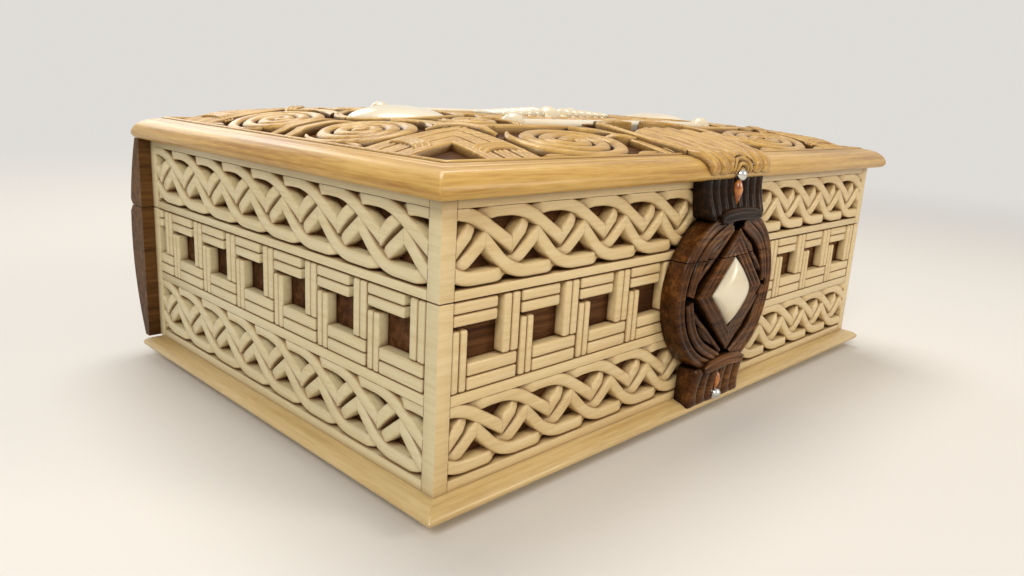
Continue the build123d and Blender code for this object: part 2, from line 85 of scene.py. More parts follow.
def addBlock(bm, low, high, bevel=0.0, segments=2):
    low, high = Vector(low), Vector(high)
    shape = Matrix.Translation((low + high) / 2) @ Matrix.Diagonal(high - low).to_4x4()
    made = bmesh.ops.create_cube(bm, size=1, matrix=shape)
    if bevel:
        edges = list({edge for vert in made["verts"] for edge in vert.link_edges})
        bmesh.ops.bevel(bm, geom=edges, offset=bevel, segments=segments, profile=0.5, affect="EDGES",
                        material=-1)


def ofKind(items, kind):
    return [item for item in items if isinstance(item, kind)]


def cutAway(bm, point, normal):
    # what lies on the normal's side goes, and the cut is closed
    geom = bm.verts[:] + bm.edges[:] + bm.faces[:]
    cut = bmesh.ops.bisect_plane(bm, geom=geom, dist=1e-5, plane_co=point, plane_no=normal, clear_outer=True)
    edges = ofKind(cut["geom_cut"], bmesh.types.BMEdge)
    if edges:
        bmesh.ops.edgeloop_fill(bm, edges=edges)


def cutToBox(bm, low, high):
    for axis in range(3):
        normal = Vector([axis == 0, axis == 1, axis == 2])
        if low[axis] is not None:
            cutAway(bm, normal * low[axis], -normal)
        if high[axis] is not None:
            cutAway(bm, normal * high[axis], normal)


def addCopies(bm, unit, places):
    for place in places:
        count = len(bm.verts)
        bm.from_mesh(unit)
        bm.verts.ensure_lookup_table()
        bmesh.ops.transform(bm, matrix=place, verts=bm.verts[count:])


def asMesh(bm, name):
    mesh = bpy.data.meshes.new(name)
    bm.to_mesh(mesh)
    bm.free()
    return mesh


def thickGrid(bm, columns, rows):
    # closed slab between -1 and 1 on a grid of faces; gives back the vertices of its top
    bmesh.ops.create_grid(bm, x_segments=columns, y_segments=rows, size=1)
    raised = bmesh.ops.extrude_face_region(bm, geom=bm.faces[:])["geom"]
    return set(ofKind(raised, bmesh.types.BMVert))


def fineLine(points, step=3.0):
    # the same line with a point at least at every step
    full = [Vector(points[0])]
    for point in points[1:]:
        begin = full[-1]
        parts = max(1, round((Vector(point) - begin).length / step))
        full += [begin.lerp(Vector(point), (index + 1) / parts) for index in range(parts)]
    return full


def roundedLine(corners, radii, step=1.0):
    # open line through the corners, each inner corner turned on its radius
    points = [Vector(corners[0])]
    for before, corner, after, radius in zip(corners, corners[1:], corners[2:], radii):
        back = (Vector(before) - Vector(corner)).normalized()
        ahead = (Vector(after) - Vector(corner)).normalized()
        turn = pi - back.angle(ahead)
        reach = radius * tan(turn / 2)
        start, end = Vector(corner) + back * reach, Vector(corner) + ahead * reach
        pieces = max(2, int(radius * turn / step))
        centre = Vector(corner) + (back + ahead).normalized() * (radius / cos(turn / 2))
        for index in range(pieces + 1):
            share = index / pieces
            points.append(centre + (start - centre).lerp(end - centre, share).normalized() * radius)
    points.append(Vector(corners[-1]))
    return fineLine(points, 2.5 * step)


def framesAlong(points, closed=False, width=None, height=None, sink=None):
    # one matrix for each point: X across the line, Y along it, Z up
    frames = []
    count = len(points)
    for index, point in enumerate(points):
        before = points[index - 1] if closed or index else point
        after = points[(index + 1) % count] if closed or index < count - 1 else point
        inward, outward = point - before, after - point
        if inward.length == 0:
            inward = outward
        if outward.length == 0:
            outward = inward
        along = (inward.normalized() + outward.normalized()).normalized()
        mitre = 1 / max(0.4, along.dot(outward.normalized()))
        across = Vector((along.y, -along.x)) * mitre * (width(index / (count - 1)) if width else 1)
        tall = height(point) if height else 1
        down = sink(index / (count - 1)) if sink else 0
        frames.append(Matrix(((across.x, along.x, 0, point.x), (across.y, along.y, 0, point.y),
                              (0, 0, tall, -down), (0, 0, 0, 1))))
    return frames


def sweep(bm, profile, frames, closed=False):
    # the profile's X and Z are carried from frame to frame
    ring = [bm.verts.new(frames[0] @ Vector((x, 0, z))) for x, z in profile]
    edges = [bm.edges.new((a, b)) for a, b in zip(ring, ring[1:] + ring[:1])]
    first = edges
    for old, new in zip(frames, frames[1:]):
        made = bmesh.ops.extrude_edge_only(bm, edges=edges)["geom"]
        verts, edges = ofKind(made, bmesh.types.BMVert), ofKind(made, bmesh.types.BMEdge)
        edges = [edge for edge in edges if all(vert in verts for vert in edge.verts)]
        bmesh.ops.transform(bm, matrix=new @ old.inverted(), verts=verts)
    if closed:
        bmesh.ops.bridge_loops(bm, edges=first + edges)
    else:
        bmesh.ops.edgeloop_fill(bm, edges=first)
        bmesh.ops.edgeloop_fill(bm, edges=edges)


def softRib(half, top, edge):
    # flat rib with rounded shoulders
    left = [(-half, 0), (-half, top - edge), (-half + 0.28 * edge, top - 0.3 * edge), (-half + edge, top)]
    return left + [(-x, z) for x, z in reversed(left)]


def reeded(half, reeds, top, groove, bottom):
    # section of a rib with rounded reeds side by side
    flank = top - groove - 0.25
    width = 2 * half / reeds
    line = [(-half, bottom), (-half, flank)]
    for reed in range(reeds):
        start = -half + reed * width
        for share in (0.08, 0.27, 0.5, 0.73, 0.92):
            line.append((start + width * share, top - groove * (1 - sin(pi * share)) ** 1.3))
    return line + [(half, flank), (half, bottom)]


def addRib(bm, line, half, reeds=1, lift=0.0, groove=0.5, bottom=None, closed=False, **shape):
    # reeded rib along a line, its width, height and sink changing along the way where they are given
    bottom = -lid["depth"] if bottom is None else bottom
    sweep(bm, reeded(half, reeds, lift, groove, bottom), framesAlong(line, closed, **shape), closed)


# materials

def startMaterial(name, colour, roughness, coat=0.0, extra=None):
    material = bpy.data.materials.new(name)
    material.use_nodes = True
    tree = material.node_tree
    shader = tree.nodes["Principled BSDF"]
    shader.inputs["Base Color"].default_value = (*colour, 1)
    shader.inputs["Roughness"].default_value = roughness
    shader.inputs["Coat Weight"].default_value = coat
    shader.inputs["Coat Roughness"].default_value = 0.18
    for socket, value in (extra or {}).items():
        shader.inputs[socket].default_value = value
    material.diffuse_color = (*colour, 1)
    return material, tree, shader


def addNode(tree, kind, values=None, links=None, **settings):
    # values and the outputs that are linked in are both given by socket
    node = tree.nodes.new("ShaderNode" + kind)
    for setting, value in settings.items():
        setattr(node, setting, value)
    for socket, value in (values or {}).items():
        node.inputs[socket].default_value = value
    for socket, output in (links or {}).items():
        tree.links.new(output, node.inputs[socket])
    return node


def addNoise(tree, place, scale, detail, stretch, alongY=False):
    size = (stretch[1], stretch[0], stretch[2]) if alongY else stretch
    mapping = addNode(tree, "Mapping", {"Scale": size}, {"Vector": place.outputs["Object"]})
    spot = mapping.outputs["Vector"]
    return addNode(tree, "TexNoise", {"Scale": scale, "Detail": detail}, {"Vector": spot}).outputs["Fac"]


def addRamp(tree, factor, tones, positions):
    ramp = addNode(tree, "ValToRGB", links={"Fac": factor})
    ends = ramp.color_ramp.elements
    ends[0].position, ends[1].position = positions[0], positions[-1]
    ends[0].color, ends[1].color = (*tones[0], 1), (*tones[-1], 1)
    for tone, position in zip(tones[1:-1], positions[1:-1]):
        ends.new(position).color = (*tone, 1)
    return ramp.outputs["Color"]


def addBump(tree, shader, height, strength, distance):
    relief = addNode(tree, "Bump", {"Strength": strength, "Distance": distance}, {"Height": height})
    tree.links.new(relief.outputs["Normal"], shader.inputs["Normal"])


# settings of the painted shade in the carving's grooves, which also stands for oil and dust
grooveShadeAndDust = {"samples": 6, "clear": 0.92}    # a groove as open as this keeps the wood's own tone


def paintGrooveShadeAndDust(tree, colour, tone, reach, full):
    # painted shade: the carving is darkened where it is deep and enclosed, and this also stands for oil and
    # dust settled there
    shade = addNode(tree, "AmbientOcclusion", {"Distance": reach}, samples=grooveShadeAndDust["samples"])
    level = addNode(tree, "MapRange", {"From Min": full, "From Max": grooveShadeAndDust["clear"]},
                    {"Value": shade.outputs["AO"]})
    mix = addNode(tree, "Mix", {6: (*tone, 1)}, {0: level.outputs["Result"], 7: colour}, data_type="RGBA")
    return mix.outputs[2]


grainLook = {"streak": 0.035, "cloud": 16.0, "cloudStretch": 0.5, "pore": 0.25, "poreWidth": 3.5,
             "cloudShare": 0.45, "poreShare": 0.22, "bump": 0.12, "bumpDepth": 0.0003}


def makeWood(name, tones, grain, roughness, coat, gloss=0.5, groove=None):
    # fine streaks along the fibres, short pores and a slow change of tone
    look, alongY = grainLook, name.endswith("Y")
    material, tree, shader = startMaterial(name, tones[1], roughness, coat, {"Specular IOR Level": gloss})
    place = addNode(tree, "TexCoord")
    width = grain * look["poreWidth"]
    streaks = addNoise(tree, place, 1.0, 5.0, (grain * look["streak"], grain, grain), alongY)
    clouds = addNoise(tree, place, look["cloud"], 2.0, (look["cloudStretch"], 1, 1), alongY)
    pores = addNoise(tree, place, 1.0, 2.0, (grain * look["pore"], width, width), alongY)
    blend = addNode(tree, "Mix", {0: look["cloudShare"]}, {2: streaks, 3: clouds})
    fine = addNode(tree, "Mix", {0: look["poreShare"]}, {2: blend.outputs[0], 3: pores})
    colour = addRamp(tree, fine.outputs[0], tones, (0.38, 0.5, 0.63))
    # the grooves get painted shade, which also stands for oil and dust
    if groove:
        colour = paintGrooveShadeAndDust(tree, colour, *groove)
    tree.links.new(colour, shader.inputs["Base Color"])
    addBump(tree, shader, pores, look["bump"], look["bumpDepth"])
    return material


def makeMottled(name, tones, scale, roughness, coat, bump, stretch, extra=None):
    # clouded colour with a faint unevenness of the surface
    material, tree, shader = startMaterial(name, tones[1], roughness, coat, extra)
    clouds = addNoise(tree, addNode(tree, "TexCoord"), scale, 4.0, (stretch, 1, 1))
    tree.links.new(addRamp(tree, clouds, tones, (0.35, 0.5, 0.66)), shader.inputs["Base Color"])
    if bump:
        addBump(tree, shader, clouds, bump, 0.0004)
    return material


# tones run from dark to light; a groove's painted shade and dust has its tone, its reach in metres and the
# openness where it is full
mapleGrooveShadeAndDust = ((0.30, 0.17, 0.07), 0.0022, 0.3)
lidLook = (((0.36, 0.18, 0.04), (0.55, 0.325, 0.085), (0.69, 0.45, 0.145)), 520, 0.33, 0.08, 0.3,
           ((0.07, 0.024, 0.006), 0.006, 0.5))
baseLook = (((0.52, 0.345, 0.13), (0.64, 0.46, 0.20), (0.73, 0.56, 0.28)), 520, 0.38, 0.2)
# each wood: tones, grain, roughness, coat, gloss and painted groove shade and dust; one whose name ends in Y
# has its grain along Y
woods = {
    # the front wall's maple is darker and warmer than the side walls': painted shade on the front face,
    # painted light on the sides
    "shadedMapleAlongX": (((0.62, 0.44, 0.205), (0.70, 0.53, 0.27), (0.75, 0.59, 0.33)),
                    640, 0.4, 0.2, 0.5, mapleGrooveShadeAndDust),
    "litMapleAlongY": (((0.60, 0.49, 0.265), (0.68, 0.575, 0.34), (0.73, 0.635, 0.40)),
                    640, 0.42, 0.15, 0.5, mapleGrooveShadeAndDust),
    "lidMaple": lidLook,
    "lidMapleY": lidLook,
    "baseMaple": baseLook,
    "baseMapleY": baseLook,
    "plainWalnut": (((0.03, 0.011, 0.004), (0.075, 0.03, 0.011), (0.15, 0.065, 0.024)), 420, 0.45, 0, 0.06),
    "spineWalnut": (((0.035, 0.014, 0.004), (0.095, 0.042, 0.012), (0.18, 0.085, 0.026)), 420, 0.45, 0, 0.12),
    "claspWalnut": (((0.022, 0.007, 0.0018), (0.085, 0.03, 0.0065), (0.235, 0.092, 0.019)),
                    260, 0.25, 0.05, 0.12, ((0.007, 0.0028, 0.001), 0.005, 0.45)),
    # walnut of the upper strap and its tie: dark walnut, made near-black with painted shade on their front
    # face
    "shadedStrapWalnut": (((0.006, 0.003, 0.0015), (0.014, 0.0065, 0.003), (0.045, 0.02, 0.008)),
                    260, 0.25, 0.0, 0.1)}
# each other finish: tones, scale, roughness, coat, bump, stretch and what else it needs
others = {
    "paleBone": (((0.72, 0.61, 0.42), (0.79, 0.70, 0.52), (0.82, 0.75, 0.6)), 70, 0.24, 0.35, 0.04, 0.3,
                 {"Subsurface Weight": 0.15, "Subsurface Radius": (0.004, 0.003, 0.002)}),
    "satinBrass": (((0.5, 0.33, 0.11), (0.62, 0.44, 0.17), (0.68, 0.5, 0.22)), 300, 0.3, 0, 0.05, 0.1,
                   {"Metallic": 1.0}),
    "polishedSteel": (((0.62, 0.61, 0.58), (0.7, 0.68, 0.64), (0.74, 0.72, 0.69)), 400, 0.12, 0, 0, 1,
                      {"Metallic": 1.0}),
    "clearAmber": (((0.3, 0.07, 0.01), (0.48, 0.15, 0.025), (0.62, 0.25, 0.05)), 500, 0.14, 0.6, 0, 1),
    "redCloth": (((0.075, 0.004, 0.008), (0.12, 0.008, 0.014), (0.17, 0.014, 0.022)), 900, 0.95, 0, 0.5, 1,
                 {"Sheen Weight": 0.25, "Sheen Tint": (0.7, 0.12, 0.15, 1)})}
materials = {name: makeWood(name, *look) for name, look in woods.items()}
materials.update({name: makeMottled(name, *look) for name, look in others.items()})
print("materials made")

# CAD pieces that are shown as they are

finishes = {"maple": "baseMaple", "walnut": "plainWalnut", "bone": "paleBone", "lining_cloth": "redCloth",
            "brass": "satinBrass", "amber": "clearAmber", "bead_metal": "polishedSteel"}
for row in part["record"]["subparts"]:
    node = nodes[row["node"]]
    finish = "spineWalnut" if row["node"].endswith("spine") else finishes[row["material_slot"]]
    node.data.materials.clear()
    node.data.materials.append(materials[finish])

# walls: rails, stiles, braid and basket weave on three sides

wall = {
    "facing": 4.0, "stile": 5.0, "rail": 3.2, "midRail": 24.4, "weaveFoot": 27.6, "rim": 53.0,
    "lidRim": 53.3, "lidBand": 56.0, "lidTopRail": 77.0, "height": 80.0, "joint": 0.07, "bevel": 0.25,
    "play": 0.05}
# each wall: its wood, the way it runs and the way it faces
walls = {
    "front": (materials["shadedMapleAlongX"], (1, 0, 0), (0, -1, 0)),
    "left": (materials["litMapleAlongY"], (0, -1, 0), (-1, 0, 0)),
    "right": (materials["litMapleAlongY"], (0, 1, 0), (1, 0, 0))}


def wallPlace(side, inward=0, up=0):
    # a wall is drawn flat, from its left end as seen from outside
    low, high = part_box("base_frame_" + side)
    along, out = walls[side][1:]
    origin = [low[axis] if along[axis] + out[axis] > 0 else high[axis] for axis in (0, 1)]
    place = Matrix((along, (0, 0, 1), out)).transposed().to_4x4()
    return (Matrix.Translation((*origin, foot * mm)) @ place @ toMetres @
            Matrix.Translation((inward, up, 0)))


def wallLength(side):
    low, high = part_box("base_frame_" + side)
    return max(high.x - low.x, high.y - low.y) / mm


def frameBars(side, body):
    length = wallLength(side)
    if body == "base":
        rails = [(0, wall["rail"]), (wall["midRail"], wall["weaveFoot"])]
        bottom, head = 0, wall["rim"]
    else:
        rails = [(wall["lidRim"], wall["lidBand"]), (wall["lidTopRail"], wall["height"])]
        bottom, head = wall["lidRim"], wall["height"]
    bm = bmesh.new()
    for start in (0, length - wall["stile"]):
        addBlock(bm, (start, bottom, 0), (start + wall["stile"], head, wall["facing"]), wall["bevel"])
    if side in ("front", "right"):
        cutAway(bm, (0, 0, wall["facing"]), (-1, 0, -1))
    if side in ("front", "left"):
        cutAway(bm, (length, 0, wall["facing"]), (1, 0, -1))
    left, right = wall["stile"] + wall["joint"], length - wall["stile"] - wall["joint"]
    for low, top in rails:
        addBlock(bm, (left, low, 0), (right, top, wall["facing"] - wall["play"]), wall["bevel"])
    finishPiece(bm, body + "Frame" + side.capitalize(), walls[side][0], body, [body + "_frame_" + side], 40,
                wallPlace(side))


braid = {
    "front": 19.95, "side": 20.35, "half": 1.95, "edge": 0.85, "apex": 9.9, "lead": 4, "joint": 0.03,
    "crest": [(0, 10.4), (9.6, 20.0), (24.5, 20.0)], "crestRadii": (14, 22), "crestEnd": 10.4,
    "trough": [(0, 12.5), (10.5, 2.4), (28.0, 2.4)], "troughRadii": (16, 12), "troughEnd": 12.5,
    "sunk": 0.62, "sunkReach": 5.2, "sunkFlat": 1.5}


def strandLine(kind, pitch):
    corners = [Vector(corner) for corner in braid[kind] + [(2 * pitch, braid[kind + "End"])]]
    first = (corners[1] - corners[0]).normalized()
    last = (corners[-1] - corners[-2]).normalized()
    start, end = corners[0] - first * braid["lead"], corners[-1] + last * braid["lead"]
    return roundedLine([start] + corners[1:-1] + [end], braid[kind + "Radii"])


def crossingOf(one, other, shift):
    for a, b in zip(one, one[1:]):
        for c, d in zip(other, other[1:]):
            met = intersect_line_line_2d(a, b, c + shift, d + shift)
            if met:
                return met
    return None


def strandUnit(kind, pitch):
    line = strandLine(kind, pitch)
    # a crest goes under the strand on its left, a trough under the strand on its right
    low = crossingOf(line, line, Vector((-pitch if kind == "crest" else pitch, 0)))

    def height(point):
        near = max(0.0, 1 - abs((point - low).length) / braid["sunkReach"])
        near = near * near * (3 - 2 * near)
        return 1 - (1 - braid["sunk"]) * min(1, near * braid["sunkFlat"])
    bm = bmesh.new()
    sweep(bm, softRib(braid["half"], wall["facing"], braid["edge"]), framesAlong(line, height=height))
    cutToBox(bm, (braid["joint"], None, None), (2 * pitch - braid["joint"], None, None))
    return asMesh(bm, kind + "Strand")


def braidPanel(side, body):
    pitch = braid["front"] if side == "front" else braid["side"]
    length = wallLength(side) - 2 * wall["stile"]
    first = 0.0 if side == "front" else length % pitch
    low, high = (wall["rail"], wall["midRail"]) if body == "base" else (wall["lidBand"], wall["lidTopRail"])
    play = wall["play"]
    starts = [first + pitch * step for step in range(-3, int(length / pitch) + 3)]
    bm = bmesh.new()
    for kind, shift in (("crest", 0), ("trough", -braid["apex"])):
        places = [Matrix.Translation((start + shift, 0, 0)) for start in starts]
        addCopies(bm, strandUnit(kind, pitch), places)
    cutToBox(bm, (play, play, None), (length - play, high - low - play, None))
    finishPiece(bm, body + "Braid" + side.capitalize(), walls[side][0], body, [body + "_braid_" + side],
                place=wallPlace(side, wall["stile"], low))


# each pair of sticks: its low corner, its high corner and its run; below zero counts from the unit's far side
weave = {
    "units": 10, "sidePitch": 25.7, "bevel": 0.7, "gap": 0.12,
    "pairs": [((0.1, 0.2), (5.4, 17.5), "up"), ((-6.8, 8.2), (-0.5, -0.2), "up"),
              ((0.1, 18.6), (-9.2, -0.2), "along"), ((5.6, 0.2), (-0.8, 8.0), "along")]}


def stickPair(bm, low, high, run):
    # two flat sticks side by side in one footprint
    gap = weave["gap"]
    if run == "up":
        middle = (low[0] + high[0]) / 2
        spans = [((low[0], low[1]), (middle - gap, high[1])), ((middle + gap, low[1]), (high[0], high[1]))]
    else:
        middle = (low[1] + high[1]) / 2
        spans = [((low[0], low[1]), (high[0], middle - gap)), ((low[0], middle + gap), (high[0], high[1]))]
    for start, end in spans:
        addBlock(bm, (*start, 0), (*end, wall["facing"]), weave["bevel"], 3)


def weaveUnit(pitch):
    size = (pitch, wall["rim"] - wall["weaveFoot"])
    bm = bmesh.new()
    for low, high, run in weave["pairs"]:
        low = [value if value > 0 else full + value for value, full in zip(low, size)]
        high = [value if value > 0 else full + value for value, full in zip(high, size)]
        stickPair(bm, low, high, run)
    return asMesh(bm, "weaveUnit")


def weavePanel(side):
    length = wallLength(side) - 2 * wall["stile"]
    pitch = length / weave["units"] if side == "front" else weave["sidePitch"]
    first = 0.0 if side == "front" else length % pitch - pitch
    starts = [first + pitch * step for step in range(int(length / pitch) + 2)]
    bm = bmesh.new()
    addCopies(bm, weaveUnit(pitch), [Matrix.Translation((start, 0, 0)) for start in starts])
    cutToBox(bm, (wall["play"], None, None), (length - wall["play"], None, None))
    finishPiece(bm, "weave" + side.capitalize(), walls[side][0], "base", ["base_weave_" + side],
                place=wallPlace(side, wall["stile"], wall["weaveFoot"]))


for side in walls:
    for body in ("base", "lid"):
        frameBars(side, body)
        braidPanel(side, body)
    weavePanel(side)
print("walls made")

# lid: rounded border, rounded top with its carving, strap and bone

lid = {"halfX": 137.0, "halfY": 92.75, "middleY": -1.25, "base": 88.5, "border": 8.0, "low": 8.1,
       "crown": 16.5, "fullness": 2.8, "depth": 2.6}
lidMaple, lidMapleY = materials["lidMaple"], materials["lidMapleY"]


def lidHeight(x, y):
    # the top rises quickly inside the border and levels off towards the middle
    inset = min(lid["halfX"] - abs(x), lid["halfY"] - abs(y - lid["middleY"])) - lid["border"]
    share = max(0.0, min(1.0, inset / (lid["halfY"] - lid["border"])))
    return lid["base"] + lid["low"] + (lid["crown"] - lid["low"]) * (1 - (1 - share) ** lid["fullness"])


def layOnLid(bm):
    # what was drawn flat is lifted onto the rounded top
    for vert in bm.verts:
        vert.co.z += lidHeight(vert.co.x, vert.co.y)


def allQuarters(bm):
    # the quarter drawn at the left front, and its three mirror images
    quarter = bpy.data.meshes.new("quarter")
    bm.to_mesh(quarter)
    across = Matrix.Diagonal((-1, 1, 1, 1))
    back = Matrix.Translation((0, 2 * lid["middleY"], 0)) @ Matrix.Diagonal((1, -1, 1, 1))
    addCopies(bm, quarter, [across, back, back @ across])


def onLid(*points):
    # places on the lid are given as inset from the left edge and inset from the front edge
    left, front = -lid["halfX"], -lid["halfY"] + lid["middleY"]
    return [Vector((left + px, front + py)) for px, py in points]


board = {"corner": 3.6, "sharp": 0.3, "slack": 0.01, "bevel": 0.8}


def makeBoard(section, inset, plate):
    # border carried round the cover's edge, its corners eased, with a plain plate inside it
    x, y, middle = lid["halfX"], lid["halfY"], lid["middleY"]
    corners = [Vector((side * x, middle + end * y)) for side, end in ((-1, -1), (1, -1), (1, 1), (-1, 1))]
    bm = bmesh.new()
    sweep(bm, section, framesAlong(corners, closed=True), closed=True)

    def onMitre(edge):
        one, other = (vert.co for vert in edge.verts)
        outside = all(abs(spot.x) > x - board["corner"] and abs(spot.y - middle) > y - board["corner"]
                      for spot in (one, other))
        slant = abs(abs(one.x - other.x) - abs(one.y - other.y)) < board["slack"]
        return edge.calc_face_angle(0) > board["sharp"] and outside and slant
    mitres = [edge for edge in bm.edges if onMitre(edge)]
    bmesh.ops.bevel(bm, geom=mitres, offset=board["bevel"], segments=3, profile=0.5, affect="EDGES",
                    material=-1)
    addBlock(bm, (-x + inset, middle - y + inset, plate[0]), (x - inset, middle + y - inset, plate[1]))
    for face in bm.faces:
        spot = face.calc_center_median()
        face.material_index = int(abs(spot.x) - x > abs(spot.y - middle) - y)    # the ends' grain runs across
    return bm


# section of the lid's border, from its outer edge and from its underside
lidBorder = {
    "section": [(-12, 2.4), (-12, 0), (-5.5, 0), (-1.7, 0.05), (-0.8, 0.4), (-0.2, 1.2), (0, 2.2),
                (-0.25, 3.3), (-0.85, 4.5), (-1.8, 5.6), (-2.9, 6.4), (-4.1, 7.0), (-5.3, 7.4),
                (-5.6, 7.2), (-5.9, 7.55), (-7.1, 7.85), (-7.4, 7.65), (-7.7, 7.95), (-8.3, 8.1),
                (-8.3, 2.4)],
    "inset": 11.9, "plate": (0, 2.4)}


def makeLidBoard():
    bm = makeBoard(lidBorder["section"], lidBorder["inset"], lidBorder["plate"])
    bmesh.ops.translate(bm, vec=(0, 0, lid["base"]), verts=bm.verts[:])
    finishPiece(bm, "lidBoard", (lidMaple, lidMapleY), "lid", ["lid_cover"])


ground = {"columns": 86, "rows": 58, "play": 0.1, "foot": 2.5}


def makeGround():
    # dark panel that shows between the carving
    bm = bmesh.new()
    tops = thickGrid(bm, ground["columns"], ground["rows"])
    for vert in bm.verts:
        x = vert.co.x * (lid["halfX"] - lid["border"] - ground["play"])
        y = vert.co.y * (lid["halfY"] - lid["border"] - ground["play"]) + lid["middleY"]
        top = lidHeight(x, y) - lid["depth"] + ground["play"]
        vert.co = (x, y, top if vert in tops else lid["base"] + ground["foot"])
    finishPiece(bm, "lidGround", materials["plainWalnut"], "lid", ["lid_ground"], 40)


corner = {"edge": 9.7, "opening": 14.0, "pitch": 7.1, "half": 3.2, "innerHalf": 0.9, "innerLift": -0.2,
          "innerGroove": 0.45}


def makeCornerSquares():
    x, y = corner["edge"] - lid["halfX"], corner["edge"] - lid["halfY"] + lid["middleY"]
    bm = bmesh.new()
    for step in (1, 2, 3):
        reach = corner["opening"] + corner["pitch"] * step - corner["half"]
        line = fineLine([(x + reach, y), (x + reach, y + reach), (x, y + reach)])
        addRib(bm, line, corner["half"], 3)
    near = corner["opening"] + corner["pitch"] - 2 * corner["half"]
    line = fineLine([(x, y + near), (x, y), (x + near, y)])
    addRib(bm, line, corner["innerHalf"], 1, corner["innerLift"], corner["innerGroove"])
    allQuarters(bm)
    layOnLid(bm)
    finishPiece(bm, "cornerSquares", lidMaple, "lid", ["lid_corner_squares"])


# each roundel: its middle's two insets, its length and its depth
roundels = {"front": (75.0, 26.0, 54.0, 35.2), "side": (26.0, 68.0, 35.6, 44.0),
            "inner": (64.0, 60.6, 22.0, 19.6), "back": (137.0, 27.5, 50.0, 35.0)}
coil = {"radius": 24.0, "half": 2.75, "turns": 3.3, "pitch": 6.5, "innerTurns": 2.1, "innerPitch": 9.6,
        "start": 0.8, "steps": 30, "core": 1.4, "lift": 0.15, "groove": 1.0}


def drawCoil(turns, pitch):
    bm = bmesh.new()
    steps = int(turns * coil["steps"])
    line = []
    for index in range(steps + 1):
        angle = 2 * pi * turns * index / steps
        reach = coil["radius"] - coil["half"] - pitch * angle / (2 * pi)
        spot = Vector((cos(angle + pi * coil["start"]), sin(angle + pi * coil["start"])))
        line.append(spot * max(coil["core"], reach))
    taper = lambda share: min(1.0, 0.3 + share * 12, 0.35 + (1 - share) * 5) * pitch / coil["pitch"]
    addRib(bm, line, coil["half"], 1, coil["lift"], coil["groove"], width=taper)
    return asMesh(bm, "coil")


def coilPlace(inset, edge, length, depth):
    size = Matrix.Diagonal((length / 2 / coil["radius"], depth / 2 / coil["radius"], 1, 1))
    return Matrix.Translation(onLid((inset, edge))[0].to_3d()) @ size


def makeRoundels():
    full, inner = drawCoil(coil["turns"], coil["pitch"]), drawCoil(coil["innerTurns"], coil["innerPitch"])
    bm = bmesh.new()
    for key in ("front", "side", "inner"):
        addCopies(bm, inner if key == "inner" else full, [coilPlace(*roundels[key])])
    allQuarters(bm)
    inset, edge, length, depth = roundels["back"]
    addCopies(bm, full, [coilPlace(inset, 2 * lid["halfY"] - edge, length, depth)])
    layOnLid(bm)
    finishPiece(bm, "roundels", lidMaple, "lid", ["lid_roundels"])


# each band: its points, the radii of its turns, half width, reeds and lift
bands = {
    "frontArch": ([(43, 43), (56, 47.6), (98, 47.4), (107, 38), (107.6, 9.4)], (22, 13, 24), 2.3, 2, 0.0),
    "sideArch": ([(41.5, 45), (47.4, 57), (46.6, 68), (43.6, 76)], (22, 14), 2.2, 2, 0.0),
    "domeRing": ([(37.8, 92.6), (37.8, 71.6), (80.2, 71.6), (80.2, 92.6)], (20.8, 20.8), 1.6, 2, 0.3),
    "cornerTie": ([(38.0, 52.5), (46.5, 45.2), (52.5, 36.0)], (20,), 2.9, 3, 0.75),
    "squareTieX": ([(25.2, 16.1), (35, 20.2), (47.0, 18.0)], (26,), 2.9, 3, 0.75),
    "squareTieY": ([(16.1, 25.2), (20.2, 35), (18.0, 46.6)], (26,), 2.9, 3, 0.75),
    "strapTie": ([(99.5, 31.5), (106, 26.0), (112.5, 26.5)], (14,), 2.6, 3, 0.75),
    "sideTie": ([(9.4, 87.9), (22, 89.6), (37.0, 86.5)], (40,), 2.4, 3, 0.6),
    "innerTie": ([(73.0, 46.2), (75.5, 53), (73.5, 60.0)], (16,), 2.2, 3, 0.7)}
leaves = {
    "lowLeft": ([(47.5, 11.2), (52.0, 12.6), (58.5, 10.2)], 15, 1.4),
    "lowRight": ([(90, 10.2), (97.5, 13.0), (104.6, 10.6)], 15, 1.8),
    "highRight": ([(94, 43.8), (100.2, 40.6), (103.8, 32.5)], 12, 1.5),
    "highLeft": ([(49.0, 41.5), (53, 44.2), (60, 44.9)], 16, 1.0),
    "sideLow": ([(10.6, 47.0), (12.6, 51.5), (10.4, 58)], 12, 1.4),
    "sideHigh": ([(39.0, 50.6), (43.0, 56), (44.0, 63)], 14, 1.0),
    "field": ([(51.6, 51.6), (53.2, 60), (50.8, 69.5)], 20, 1.6),
    "fieldTop": ([(83.2, 79.5), (79.0, 71), (79.8, 61.5)], 20, 1.5),
    "ridgeEnd": ([(82.4, 90.4), (92, 86.2), (101.2, 90.2)], 30, 2.2),
    "ridgeLow": ([(83.5, 84.2), (95, 81.0), (107, 84.2)], 40, 1.5),
    "strapLeaf": ([(110.8, 10.6), (112.4, 18), (111.0, 23)], 16, 1.0),
    "recess": ([(109.6, 50.3), (117, 51.4), (130, 50.6)], 40, 1.1)}
edgeLine = {"points": [(9.6, 92.7), (9.6, 9.6), (114.5, 9.6)], "half": 0.75, "lift": 0.15}
bandStep = 1.6


